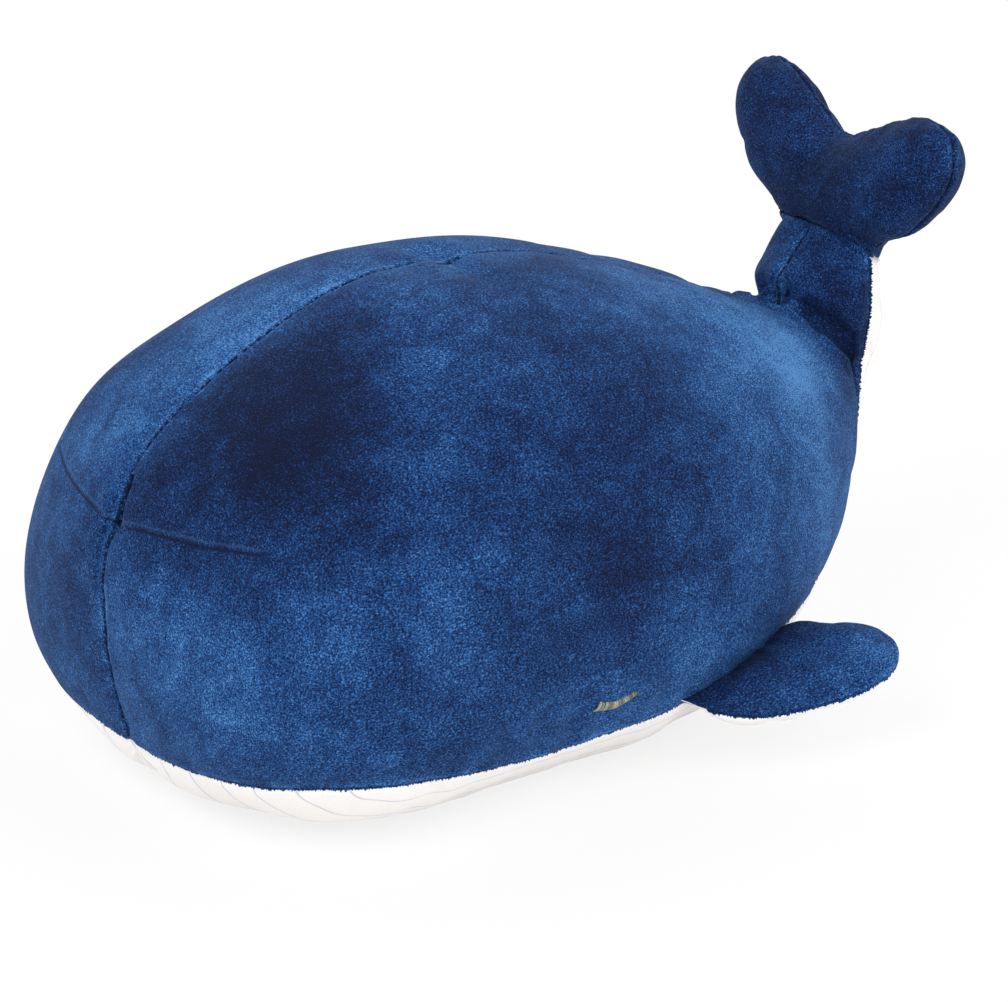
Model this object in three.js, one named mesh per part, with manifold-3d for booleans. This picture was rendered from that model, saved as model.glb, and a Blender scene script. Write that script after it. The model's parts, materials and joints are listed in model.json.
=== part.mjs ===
// A stuffed whale cushion in short-pile plush, built as it is sewn: panels with turned-in seam
// allowances over a filling. Millimetres, +Z up, the nose towards -Y and the whale's left at +X.
// The origin lies on the floor under the middle of the whale's box.
import * as THREE from "three";
import { mergeVertices } from "three/addons/utils/BufferGeometryUtils.js";
import Module from "manifold-3d";

// Body: overall sizes
const bodyLength = 540; // nose to the rear of the tail stock
const bodyHeight = 284; // floor to the top of the back
const bodyWidth = 344;
const floorCut = 0.5; // depth of the flat that the belly rests on

// Fabric and seams
const fabric = 2; // plush backing with its pile pressed flat
const seamAllowance = 7; // fabric turned in at each seam of the body
const limbAllowance = 4; // the same in flukes and flippers, where it is trimmed
const limbSlack = 0.6; // fibre lies looser under the fabric of flukes and flippers
const clearance = 0.3; // between neighbouring pieces
const seamDraw = 3; // how far the stitching pulls a seam into the filling
const seamReach = 16; // how far from the seam the pull is felt

// Pinched places on the back: the dart at the nose and the fold across the top
const noseDentDepth = 9;
const noseDentReach = 24;
const backFoldDepth = 6;
const backFoldReach = 20;

// Tail flukes
const flukeSpan = 194; // from lobe to lobe
const flukeHeight = 92; // from the base seam to the top of a lobe
const flukeThickness = 42;
const flukeRound = 26; // width of the rounded edge
const flukeLean = 13; // degrees, backwards from upright
const flukeRoot = 28; // length of the outline that the stock cuts off

// Flippers
const finLength = 141; // from the front of the root to the tip
const finWidth = 64; // from the root out
const finThickness = 28;
const finRound = 22;
const finDroop = 17; // degrees, down from level
const finRootThickness = 13;
const finRootReach = 26; // distance over which the root swells to full thickness
const finRootGap = 0.8; // room for the root to turn

// Closed eyes, satin stitch
const eyeLength = 27;
const eyeSag = 5; // depth of the arc
const eyeStitch = 4.2; // width of the satin stitch
const eyeRelief = 1.4; // height of the thread over the plush

// How full the cross-sections are: 2 is an ellipse, more is squarer
const backFullness = 1.95;
const bellyFullness = 3.8;

// Rings of the body, nose to tail: where each meets the back line and the belly line, as shares of
// the length and the height, then its half width and the place of the side seam down the ring.
const bodyRingShares = [
  [-0.007, 0.162, -0.002, 0.109, 0.052, 0.57],
  [-0.019, 0.268, 0.007, 0.088, 0.349, 0.715],
  [-0.026, 0.373, 0.035, 0.056, 0.57, 0.727],
  [-0.024, 0.504, 0.078, 0.035, 0.733, 0.747],
  [-0.002, 0.609, 0.119, 0.021, 0.855, 0.766],
  [0.03, 0.715, 0.159, 0.014, 0.93, 0.795],
  [0.089, 0.824, 0.207, 0.004, 0.971, 0.817],
  [0.161, 0.901, 0.252, 0, 0.983, 0.845],
  [0.243, 0.968, 0.3, 0, 0.988, 0.867],
  [0.326, 0.996, 0.356, 0, 0.988, 0.875],
  [0.394, 0.989, 0.415, 0, 0.988, 0.86],
  [0.476, 0.979, 0.485, 0, 0.977, 0.86],
  [0.556, 0.937, 0.559, 0.014, 0.936, 0.835],
  [0.639, 0.87, 0.644, 0.056, 0.855, 0.825],
  [0.713, 0.81, 0.731, 0.113, 0.733, 0.837],
  [0.763, 0.768, 0.806, 0.204, 0.587, 0.847],
  [0.796, 0.75, 0.859, 0.303, 0.465, 0.846],
  [0.817, 0.746, 0.898, 0.391, 0.366, 0.816],
  [0.83, 0.75, 0.919, 0.458, 0.302, 0.76],
  [0.837, 0.757, 0.93, 0.514, 0.244, 0.71],
  [0.85, 0.778, 0.937, 0.581, 0.256, 0.68],
  [0.865, 0.813, 0.944, 0.655, 0.256, 0.64],
  [0.878, 0.849, 0.948, 0.722, 0.25, 0.61],
  [0.889, 0.877, 0.95, 0.785, 0.25, 0.56],
];
const creaseRing = 19; // the ring where the body ends and the tail stock starts
const backColumnShares = [0, 0.04, 0.14, 0.27, 0.41, 0.55, 0.68, 0.79, 0.88, 0.95, 1];
const bellyColumnShares = [0, 0.07, 0.3, 0.53, 0.77, 1];
const noseDentShare = 4 / 23;
const backFoldShare = 10.25 / 23;

// Half outline of the flukes from the notch out to the lobe and down to the stock, as shares of
// half the span and of the height.
const flukeOutlineShares = [
  [0, 0.66],
  [0.12, 0.7],
  [0.38, 0.84],
  [0.6, 0.96],
  [0.79, 1.0],
  [0.94, 0.93],
  [1.0, 0.77],
  [0.96, 0.58],
  [0.82, 0.36],
  [0.62, 0.16],
  [0.47, 0.02],
];
const flukeNeckShare = 0.4; // half width at the cut, as a share of half the span
const flukeCentreShare = 0.38; // height of the middle that the panel's rings close on

// Outline of a flipper from the front of its root round the tip, as shares of its length and width.
const finOutlineShares = [
  [0.036, 0.23],
  [0.167, 0.57],
  [0.35, 0.8],
  [0.565, 0.97],
  [0.745, 1.0],
  [0.885, 0.95],
  [0.98, 0.82],
  [0.99, 0.64],
  [0.92, 0.42],
  [0.81, 0.2],
  [0.73, 0.065],
];
const finRootShares = [0.485, 0.578]; // front and rear end of the root along the side seam
const finCentreShare = [0.5, 0.48];

// Rings of a stuffed limb, from its seam to its middle, as shares of the way in
const limbRingShares = [0.13, 0.28, 0.5, 0.75, 1];

// Place of the eye: along the body, and down from the back line to the side seam
const eyeAlongShare = 0.425;
const eyeDownShare = 0.856;

const plushBlue = 0x28508c;
const plushWhite = 0xf3f0ee;
const threadGrey = 0x6e6d66;
const fillWhite = 0xe9e6df;

const wasm = await Module();
wasm.setup();

const up = new THREE.Vector3(0, 0, 1);
const plus = (a, b, k = 1) => a.clone().addScaledVector(b, k);

// Faces are gathered as corner triples, and turned into one closed geometry at the end.
function addTriangle(faces, a, b, c) {
  const tiny = clearance / 100;
  if (a.distanceTo(b) > tiny && b.distanceTo(c) > tiny && c.distanceTo(a) > tiny)
    faces.push([a, b, c]);
}

// Adds a grid of points as pairs of triangles. A crossed column is split along its other diagonal,
// so that two sheets that lie face to face bend alike.
function addPatch(faces, grid, facing, crossed = -1) {
  for (let i = 0; i + 1 < grid.length; i++)
    for (let j = 0; j + 1 < grid[i].length; j++) {
      let corners = [grid[i][j], grid[i + 1][j], grid[i + 1][j + 1], grid[i][j + 1]];
      if (facing < 0) corners = [corners[0], corners[3], corners[2], corners[1]];
      if (j === crossed) corners.push(corners.shift());
      const [a, b, c, d] = corners;
      addTriangle(faces, a, b, c);
      addTriangle(faces, a, c, d);
    }
}

function mirrored(faces) {
  const flip = (p) => new THREE.Vector3(-p.x, p.y, p.z);
  return faces.map(([a, b, c]) => [flip(a), flip(c), flip(b)]);
}

function closedGeometry(faces) {
  const geometry = new THREE.BufferGeometry().setFromPoints(faces.flat());
  return mergeVertices(geometry, clearance / 100);
}

function solidOf(geometry) {
  const merged = mergeVertices(geometry.clone().deleteAttribute("normal").deleteAttribute("uv"));
  const vertProperties = merged.attributes.position.array;
  const triVerts = new Uint32Array(merged.index.array);
  return new wasm.Manifold(new wasm.Mesh({ numProp: 3, vertProperties, triVerts }));
}

function geometryOf(solid) {
  const { vertProperties, triVerts } = solid.getMesh();
  const geometry = new THREE.BufferGeometry();
  geometry.setAttribute("position", new THREE.BufferAttribute(vertProperties, 3));
  return geometry.setIndex(new THREE.BufferAttribute(triVerts, 1));
}

// Takes away what lies beyond a plane, given by a point on it and its outward normal.
function cutBeyond(geometry, point, normal) {
  const size = 2 * bodyLength;
  const block = new THREE.BoxGeometry(size, size, size);
  block.translate(0, 0, size / 2);
  block.applyQuaternion(new THREE.Quaternion().setFromUnitVectors(up, normal));
  block.translate(point.x, point.y, point.z);
  return geometryOf(solidOf(geometry).subtract(solidOf(block)));
}

// The body's surface: a ring for each place along it, in the plane through its two centre points.
const ringCount = bodyRingShares.length;
const ringCurve = (points) => new THREE.CatmullRomCurve3(points, false, "catmullrom");
const backLine = ringCurve(
  bodyRingShares.map(
    ([y, z, , , width]) =>
      new THREE.Vector3((width * bodyWidth) / 2, y * bodyLength, z * bodyHeight),
  ),
);
const bellyLine = ringCurve(
  bodyRingShares.map(
    ([, , y, z, , seam]) => new THREE.Vector3(seam, y * bodyLength, z * bodyHeight),
  ),
);

const power = (value, exponent) => Math.sign(value) * Math.abs(value) ** exponent;

function plainBodyPoint(along, angle) {
  const back = backLine.getPoint(along);
  const belly = bellyLine.getPoint(along);
  const fullness = Math.cos(angle) > 0 ? backFullness : bellyFullness;
  const across = power(Math.sin(angle), 2 / fullness);
  const rise = power(Math.cos(angle), 2 / fullness);
  return new THREE.Vector3(
    back.x * across,
    THREE.MathUtils.lerp(belly.y, back.y, (1 + rise) / 2),
    THREE.MathUtils.lerp(belly.z, back.z, (1 + rise) / 2),
  );
}

function seamAngle(along) {
  const rise = 1 - 2 * bellyLine.getPoint(along).x;
  return Math.acos(power(rise, (rise > 0 ? backFullness : bellyFullness) / 2));
}

// At the crease and at the flukes the fabric is square to the ring, so that pieces meet flat there.
const squareRings = [creaseRing / (ringCount - 1), 1];

function ringNormal(along) {
  const chord = plainBodyPoint(along, Math.PI).sub(plainBodyPoint(along, 0)).normalize();
  return chord.cross(new THREE.Vector3(-1, 0, 0));
}

// Unit vectors on the surface: outwards, and across it down the ring
function bodyFrame(along, angle) {
  const step = 1e-3;
  const before = Math.max(along - step, 0);
  const after = Math.min(along + step, 1);
  const lengthwise = squareRings.includes(along)
    ? ringNormal(along)
    : plainBodyPoint(after, angle).sub(plainBodyPoint(before, angle));
  const down = plainBodyPoint(along, angle + step).sub(plainBodyPoint(along, angle - step));
  const outward = down.clone().cross(lengthwise).normalize();
  return { outward, down: down.normalize() };
}

const bell = (distance, reach) => Math.exp(-((distance / reach) ** 2));
const noseDent = plainBodyPoint(noseDentShare, 0);
const backFold = plainBodyPoint(backFoldShare, 0);

function bodyPoint(along, angle, depth = 0) {
  const point = plainBodyPoint(along, angle);
  const { outward } = bodyFrame(along, angle);
  const backSeam = plainBodyPoint(along, 0).distanceTo(point);
  const sideSeam = plainBodyPoint(along, seamAngle(along)).distanceTo(point);
  const pull =
    seamDraw * (bell(backSeam, seamReach) + bell(sideSeam, seamReach)) +
    noseDentDepth * bell(point.distanceTo(noseDent), noseDentReach) +
    backFoldDepth * bell(point.distanceTo(backFold), backFoldReach);
  return plus(point, outward, -pull - depth);
}

// Angles round a ring: the columns of a panel, kept clear of the fabric that its seams turn in
function columnAngles(shares, start, end, startMargin, endMargin) {
  const first = start + startMargin;
  const last = end - endMargin;
  return shares.map((share) => {
    if (share === 0) return start;
    return share === 1 ? end : THREE.MathUtils.lerp(first, last, share);
  });
}

function backAngles(along) {
  const { atBack, atSide } = seamMargins(along);
  return columnAngles(backColumnShares, 0, seamAngle(along), atBack, atSide);
}

function bellyAngles(along) {
  const { atSide } = seamMargins(along);
  return columnAngles(bellyColumnShares, seamAngle(along), Math.PI, atSide, 0);
}

// The angles that the turned-in fabric takes up at the seam on the back and at the side seam
function seamMargins(along) {
  const margin = fabric + seamAllowance / 5;
  const halfWidth = plainBodyPoint(along, Math.PI / 2).x;
  const height = plainBodyPoint(along, 0).distanceTo(plainBodyPoint(along, Math.PI));
  return { atBack: margin / halfWidth, atSide: (2 * margin) / height };
}

const rows = (first, last) =>
  Array.from({ length: last - first + 1 }, (_, i) => (first + i) / (ringCount - 1));

// One row of a panel: the fabric's face and its back, with the allowance turned in at each seam.
function panelRow(along, angles, seamAtStart, seamAtEnd) {
  const face = angles.map((angle) => bodyPoint(along, angle));
  const back = angles.map((angle) => bodyPoint(along, angle, fabric));
  const turnIn = (index, side) => {
    const { outward, down } = bodyFrame(along, angles[index]);
    const inwards = down.clone().multiplyScalar(side);
    face[index] = plus(face[index], inwards, clearance / 2);
    back[index] = plus(face[index], inwards, fabric).addScaledVector(outward, -fabric);
    const tip = plus(face[index], outward, -seamAllowance);
    return [tip, plus(tip, inwards, fabric)];
  };
  const start = seamAtStart ? turnIn(0, 1) : null;
  const end = seamAtEnd ? turnIn(angles.length - 1, -1) : null;
  if (start) {
    face.unshift(start[0]);
    back.unshift(start[1]);
  }
  if (end) {
    face.push(end[0]);
    back.push(end[1]);
  }
  return { face, back };
}

// Closes a sheet of fabric: its face, its back and the raw edges named in the list.
function addSheet(faces, face, back, edges, crossed) {
  addPatch(faces, face, -1, crossed);
  addPatch(faces, back, 1);
  const last = face.length - 1;
  const column = (grid, j) => grid.map((row) => row.at(j));
  if (edges.includes("start")) addPatch(faces, [face[0], back[0]], 1);
  if (edges.includes("end")) addPatch(faces, [face[last], back[last]], -1);
  if (edges.includes("left")) addPatch(faces, [column(face, 0), column(back, 0)], -1);
  if (edges.includes("right")) addPatch(faces, [column(face, -1), column(back, -1)], 1);
}

function backPanelFaces() {
  const grid = rows(0, ringCount - 1).map((along) =>
    panelRow(along, backAngles(along), true, true),
  );
  const faces = [];
  addSheet(
    faces,
    grid.map((row) => row.face),
    grid.map((row) => row.back),
    ["start", "end", "left", "right"],
  );
  return faces;
}

function bellyPanelGeometry() {
  const grid = rows(0, ringCount - 1).map((along) =>
    panelRow(along, bellyAngles(along), true, false),
  );
  const half = [];
  addSheet(
    half,
    grid.map((row) => row.face),
    grid.map((row) => row.back),
    ["start", "end", "left"],
    0,
  );
  const whole = closedGeometry([...half, ...mirrored(half)]);
  return cutBeyond(whole, new THREE.Vector3(0, 0, floorCut), up.clone().negate());
}

// One half row of the filling: its skin under the panels, with a slot for each turned-in seam.
function fillingRow(along) {
  const skin = fabric + clearance;
  const slotDepth = seamAllowance + clearance;
  const slotHalf = clearance / 2 + fabric + clearance;
  const beside = (angle, side, depth) => {
    const { down } = bodyFrame(along, angle);
    return plus(bodyPoint(along, angle, depth), down, side * slotHalf);
  };
  const middle = (point) => point.setX(0);
  const back = backAngles(along);
  const belly = bellyAngles(along);
  const seam = seamAngle(along);
  return [
    middle(bodyPoint(along, 0, slotDepth)),
    beside(0, 1, slotDepth),
    beside(0, 1, skin),
    ...back.slice(1, -1).map((angle) => bodyPoint(along, angle, skin)),
    beside(seam, -1, skin),
    beside(seam, -1, slotDepth),
    beside(seam, 1, slotDepth),
    beside(seam, 1, skin),
    ...belly.slice(1, -1).map((angle) => bodyPoint(along, angle, skin)),
    middle(bodyPoint(along, Math.PI, skin)),
  ];
}

// The filling between two rings, moved in from the plane of each by half the clearance
function fillingGeometry(first, last) {
  const grid = rows(first, last).map(fillingRow);
  const inset = (row, side) => {
    const chord = plus(row.at(-1), row[0], -1).normalize();
    const lengthwise = chord.cross(new THREE.Vector3(-1, 0, 0));
    return row.map((point) => plus(point, lengthwise, (side * clearance) / 2));
  };
  const ends = [inset(grid[0], 1), inset(grid.at(-1), -1)];
  grid[0] = ends[0];
  grid[grid.length - 1] = ends[1];
  const half = [];
  addPatch(half, grid, -1);
  ends.forEach((row, side) => {
    const centre = plus(row[0], plus(row.at(-1), row[0], -1), 0.5);
    addPatch(half, [row.map(() => centre), row], side ? 1 : -1);
  });
  return closedGeometry([...half, ...mirrored(half)]);
}

// A stuffed limb of two panels, laid out flat: outline points in the limb's own plane, where the
// thickness comes from the distance to the seam and from a swell that each limb gives.
function limb({ outline, centre, place, thickness, round, swell }) {
  const edges = outline.map((point, i) => new THREE.Line3(point, outline[(i + 1) % outline.length]));
  const nearest = new THREE.Vector3();
  const toSeam = (point) =>
    Math.min(
      ...edges.map((edge) => edge.closestPointToPoint(point, true, nearest).distanceTo(point)),
    );
  const loft = (point) => {
    const share = Math.min(toSeam(point) / round, 1);
    return (thickness / 2) * swell(point) * Math.sqrt(share * (2 - share));
  };
  const closed = (row) => [...row, row[0]];
  const inwardAt = (i) => {
    const before = outline.at(i - 1);
    const after = outline[(i + 1) % outline.length];
    return plus(after, before, -1).normalize().cross(up).negate();
  };
  const insetRow = (distance, height) =>
    outline.map((point, i) => plus(point, inwardAt(i), distance).setZ(height));
  const ringRow = (share, depth) =>
    outline.map((point) => {
      const flat = point.clone().lerp(centre, share);
      return flat.setZ(Math.max(loft(flat) - depth, clearance));
    });
  const half = clearance / 2;
  const face = [
    insetRow(limbAllowance, half),
    insetRow(0, half),
    ...limbRingShares.map((share) => ringRow(share, 0)),
  ];
  const back = [
    insetRow(limbAllowance, half + fabric),
    insetRow(fabric, half + fabric),
    ...limbRingShares.map((share) => ringRow(share, fabric)),
  ];
  const slot = half + fabric + clearance;
  const core = [
    insetRow(limbAllowance + clearance, 0),
    insetRow(limbAllowance + clearance, slot),
    insetRow(fabric + limbSlack, slot),
    ...limbRingShares.map((share) => ringRow(share, fabric + limbSlack)),
  ];
  const placed = (grid, side) =>
    grid.map((row) =>
      closed(row).map((point) => new THREE.Vector3(point.x, point.y, side * point.z).applyMatrix4(place)),
    );
  const panel = (side) => {
    const faces = [];
    addPatch(faces, placed(face, side), -side);
    addPatch(faces, placed(back, side), side);
    addPatch(faces, placed([face[0], back[0]], side), side);
    return closedGeometry(faces);
  };
  const filling = [];
  addPatch(filling, placed(core, 1), -1);
  addPatch(filling, placed(core, -1), 1);
  return { top: panel(1), bottom: panel(-1), filling: closedGeometry(filling) };
}

// Tail flukes: two lobes on the end of the stock, cut off where the stock's last ring meets them.
function flukes() {
  const lean = THREE.MathUtils.degToRad(flukeLean);
  const stockFront = plainBodyPoint(1, 0);
  const stockRear = plainBodyPoint(1, Math.PI);
  const base = stockFront.clone().lerp(stockRear, 0.5);
  const rise = new THREE.Vector3(0, Math.sin(lean), Math.cos(lean));
  const side = new THREE.Vector3(-1, 0, 0);
  const place = new THREE.Matrix4().makeBasis(side, rise, side.clone().cross(rise));
  place.setPosition(base);
  const halfOutline = flukeOutlineShares.map(
    ([x, y]) => new THREE.Vector3((x * flukeSpan) / 2, y * flukeHeight, 0),
  );
  const neck = (flukeNeckShare * flukeSpan) / 2;
  halfOutline.push(new THREE.Vector3(neck, -flukeRoot / 2, 0));
  halfOutline.push(new THREE.Vector3(neck, -flukeRoot, 0));
  const outlineCount = 14; // points along half the outline
  const right = new THREE.CatmullRomCurve3(halfOutline).getSpacedPoints(outlineCount);
  const left = right
    .slice(1)
    .reverse()
    .map((point) => new THREE.Vector3(-point.x, point.y, 0));
  const outline = [...right, ...left];
  const made = limb({
    outline: outline.reverse(),
    centre: new THREE.Vector3(0, flukeCentreShare * flukeHeight, 0),
    place,
    thickness: flukeThickness,
    round: flukeRound,
    swell: () => 1,
  });
  const stockSide = plus(stockFront, stockRear, -1).normalize();
  const away = stockSide.clone().cross(new THREE.Vector3(1, 0, 0)).normalize();
  if (away.z < 0) away.negate();
  const cut = plus(base, away, clearance);
  const trim = (geometry) => cutBeyond(geometry, cut, away.clone().negate());
  return { front: trim(made.top), rear: trim(made.bottom), filling: trim(made.filling) };
}

// Left flipper: its root follows the side seam, and the rest hangs out from it.
function flipper() {
  const [frontShare, rearShare] = finRootShares;
  const rootSteps = 6;
  const sweepSteps = 17;
  const seamPoints = Array.from({ length: rootSteps + 1 }, (_, i) => {
    const along = THREE.MathUtils.lerp(frontShare, rearShare, i / rootSteps);
    return bodyPoint(along, seamAngle(along));
  });
  const front = seamPoints[0];
  const rear = seamPoints.at(-1);
  const lengthwise = plus(rear, front, -1).normalize();
  const level = lengthwise.clone().cross(up).normalize();
  const droop = THREE.MathUtils.degToRad(finDroop);
  const outwards = level.clone().applyAxisAngle(lengthwise, droop);
  const place = new THREE.Matrix4().makeBasis(
    lengthwise,
    outwards.clone().negate(),
    lengthwise.clone().cross(outwards).negate(),
  );
  place.setPosition(front);
  const unplace = place.clone().invert();
  const root = seamPoints.map((point) => {
    const flat = point.clone().applyMatrix4(unplace);
    return new THREE.Vector3(flat.x, flat.y - finRootGap, 0);
  });
  const outer = finOutlineShares.map(
    ([x, y]) => new THREE.Vector3(x * finLength, -y * finWidth, 0),
  );
  const curve = new THREE.CatmullRomCurve3([root[0], ...outer, root.at(-1)]);
  const sweep = curve.getSpacedPoints(sweepSteps).slice(1, -1);
  const outline = [...root, ...sweep.reverse()];
  const rootLine = new THREE.Line3(root[0], root.at(-1));
  const foot = new THREE.Vector3();
  const swell = (point) => {
    const fromRoot = rootLine.closestPointToPoint(point, false, foot).distanceTo(point);
    const share = THREE.MathUtils.smoothstep(fromRoot, 0, finRootReach);
    return THREE.MathUtils.lerp(finRootThickness / finThickness, 1, share);
  };
  return limb({
    outline: outline.reverse(),
    centre: new THREE.Vector3(finCentreShare[0] * finLength, -finCentreShare[1] * finWidth, 0),
    place,
    thickness: finThickness,
    round: finRound,
    swell,
  });
}

// Left eye: an arc of satin stitch on the side of the face, just above the seam. Each section of
// the thread lies on the plush, square to the arc.
function eyeFaces() {
  const steps = 10;
  const sides = 6;
  const reach = 0.01; // a short way along the body or round it, to measure by
  const thinnest = 0.1; // height of the thread's ends, squared, as a share of its middle
  const eyeAngle = eyeDownShare * seamAngle(eyeAlongShare);
  const before = bodyPoint(eyeAlongShare - reach, eyeAngle);
  const after = bodyPoint(eyeAlongShare + reach, eyeAngle);
  const above = bodyPoint(eyeAlongShare, eyeAngle - reach);
  const alongPerLength = (2 * reach) / before.distanceTo(after);
  const anglePerLength = reach / above.distanceTo(bodyPoint(eyeAlongShare, eyeAngle));
  const lift = (clearance + eyeRelief) / 2;
  const loops = Array.from({ length: steps + 1 }, (_, i) => {
    const share = (2 * i) / steps - 1;
    const along = eyeAlongShare + ((share * eyeLength) / 2) * alongPerLength;
    const angle = eyeAngle + eyeSag * (1 - share * share) * anglePerLength;
    const { outward, down } = bodyFrame(along, angle);
    const place = bodyPoint(along, angle, -lift);
    const taper = Math.sqrt(Math.max(1 - share ** 4, thinnest));
    return Array.from({ length: sides + 1 }, (_, k) => {
      const turn = (2 * Math.PI * (k % sides)) / sides;
      const point = plus(place, down, (Math.cos(turn) * taper * eyeStitch) / 2);
      return point.addScaledVector(outward, (Math.sin(turn) * eyeRelief) / 2);
    });
  });
  const faces = [];
  addPatch(faces, loops, 1);
  [loops[0], loops.at(-1)].forEach((loop, end) => {
    const middle = plus(loop[0], loop[sides / 2]).multiplyScalar(0.5);
    addPatch(faces, [loop.map(() => middle), loop], end ? -1 : 1);
  });
  return faces;
}

const plush = (color) => new THREE.MeshStandardMaterial({ color, roughness: 0.95, metalness: 0 });
const materials = {
  blue: plush(plushBlue),
  white: plush(plushWhite),
  thread: new THREE.MeshStandardMaterial({ color: threadGrey, roughness: 0.6, metalness: 0 }),
  fill: plush(fillWhite),
};

const whale = new THREE.Group();

function addPiece(name, geometry, material) {
  geometry.computeVertexNormals();
  const mesh = new THREE.Mesh(geometry, material);
  mesh.name = name;
  whale.add(mesh);
}

function addPair(name, faces, material) {
  addPiece(name.replace("SIDE", "left"), closedGeometry(faces), material);
  addPiece(name.replace("SIDE", "right"), closedGeometry(mirrored(faces)), material);
}

function facesOf(geometry) {
  const flat = geometry.index ? geometry.toNonIndexed() : geometry;
  const corners = flat.attributes.position;
  const point = (i) => new THREE.Vector3().fromBufferAttribute(corners, i);
  return Array.from({ length: corners.count / 3 }, (_, i) => [
    point(3 * i),
    point(3 * i + 1),
    point(3 * i + 2),
  ]);
}

addPair("back_panel_SIDE", backPanelFaces(), materials.blue);
addPiece("belly_panel", bellyPanelGeometry(), materials.white);
addPiece("body_filling", fillingGeometry(0, creaseRing), materials.fill);
addPiece("tail_filling", fillingGeometry(creaseRing, ringCount - 1), materials.fill);

const tail = flukes();
addPiece("fluke_front_panel", tail.front, materials.blue);
addPiece("fluke_rear_panel", tail.rear, materials.blue);
addPiece("fluke_filling", tail.filling, materials.fill);

const fin = flipper();
addPair("fin_SIDE_upper_panel", facesOf(fin.top), materials.blue);
addPair("fin_SIDE_lower_panel", facesOf(fin.bottom), materials.white);
addPair("fin_SIDE_filling", facesOf(fin.filling), materials.fill);
addPair("eye_SIDE_embroidery", eyeFaces(), materials.thread);

const box = new THREE.Box3().setFromObject(whale);
const centre = box.getCenter(new THREE.Vector3());
whale.position.set(-centre.x, -centre.y, -box.min.z);

export default whale;
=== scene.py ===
# %% [markdown]
# # A whale bolster cushion in short-pile plush
# The real cushion is sewn from three body panels, two blue ones that meet on the back and a pale one
# under the belly, then stuffed with loose fibre. Flukes and fins are small stuffed bags of two
# panels each, sewn into the seams. The scene makes it in that order: skins, stuffing, then the
# seams, folds and pile.

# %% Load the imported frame
import json
import math

import bmesh
import bpy
import numpy as np
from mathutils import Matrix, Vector, noise
from mathutils.bvhtree import BVHTree
from mathutils.kdtree import KDTree

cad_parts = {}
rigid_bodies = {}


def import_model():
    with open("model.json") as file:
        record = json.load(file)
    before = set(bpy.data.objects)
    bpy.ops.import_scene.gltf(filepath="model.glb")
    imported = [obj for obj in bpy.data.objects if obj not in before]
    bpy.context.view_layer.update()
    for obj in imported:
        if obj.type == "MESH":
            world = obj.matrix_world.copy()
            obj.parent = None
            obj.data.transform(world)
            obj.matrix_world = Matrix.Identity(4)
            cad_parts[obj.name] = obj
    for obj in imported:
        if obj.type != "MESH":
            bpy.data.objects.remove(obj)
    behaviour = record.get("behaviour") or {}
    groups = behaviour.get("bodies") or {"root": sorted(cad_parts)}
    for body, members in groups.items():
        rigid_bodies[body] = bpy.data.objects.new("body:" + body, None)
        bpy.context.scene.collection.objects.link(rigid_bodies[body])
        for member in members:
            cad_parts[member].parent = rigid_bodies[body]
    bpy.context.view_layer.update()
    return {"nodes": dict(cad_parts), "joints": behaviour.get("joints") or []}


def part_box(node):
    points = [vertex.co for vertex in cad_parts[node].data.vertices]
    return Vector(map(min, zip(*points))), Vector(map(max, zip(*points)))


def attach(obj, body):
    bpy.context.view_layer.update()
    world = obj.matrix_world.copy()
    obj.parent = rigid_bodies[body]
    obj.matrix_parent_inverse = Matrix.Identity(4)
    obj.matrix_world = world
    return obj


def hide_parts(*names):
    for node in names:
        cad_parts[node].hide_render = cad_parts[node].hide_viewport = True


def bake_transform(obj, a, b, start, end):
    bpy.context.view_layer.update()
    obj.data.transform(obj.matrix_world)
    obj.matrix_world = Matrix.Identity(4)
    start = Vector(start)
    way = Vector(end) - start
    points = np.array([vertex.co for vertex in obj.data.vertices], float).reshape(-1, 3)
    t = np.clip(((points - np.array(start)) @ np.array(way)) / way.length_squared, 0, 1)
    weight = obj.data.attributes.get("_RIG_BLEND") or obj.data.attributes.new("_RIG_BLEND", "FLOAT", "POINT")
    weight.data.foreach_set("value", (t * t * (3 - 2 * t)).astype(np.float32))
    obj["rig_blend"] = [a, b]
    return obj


for left_over in list(bpy.data.objects):
    bpy.data.objects.remove(left_over)
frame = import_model()
scene = bpy.context.scene
mm = 0.001

# %% [markdown]
# ## Camera
# The photograph looks at the whale's left cheek, a little from above. Both ends of the cushion have
# nearly the same scale in it, so the lens is long and stands almost three metres away.

# %% Camera at the photograph's angle
image_width = 1008
focal_pixels = 5000
aim = Vector((0, -0.0005, 0.1215))
towards_camera = Vector((0.7505, -0.5553, 0.3584)).normalized()
camera_distance = 2.865


def aimed(name, data, place):
    """A new camera or lamp at a place, turned towards the middle of the cushion."""
    thing = bpy.data.objects.new(name, data)
    scene.collection.objects.link(thing)
    thing.location = place
    thing.rotation_mode = "QUATERNION"
    thing.rotation_quaternion = (aim - Vector(place)).to_track_quat("-Z", "Y")
    return thing


camera_data = bpy.data.cameras.new("camera")
camera_data.lens = focal_pixels / image_width * camera_data.sensor_width
camera = aimed("camera", camera_data, aim + towards_camera * camera_distance)
scene.camera = camera
print("camera", [round(v, 3) for v in camera.location], "lens", round(camera_data.lens, 2))

# %% [markdown]
# ## Writing materials as sums
# A node tree is easier to read as a formula. One small class wraps a socket and turns the signs
# of arithmetic into Math nodes, and one method makes any other node.

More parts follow.
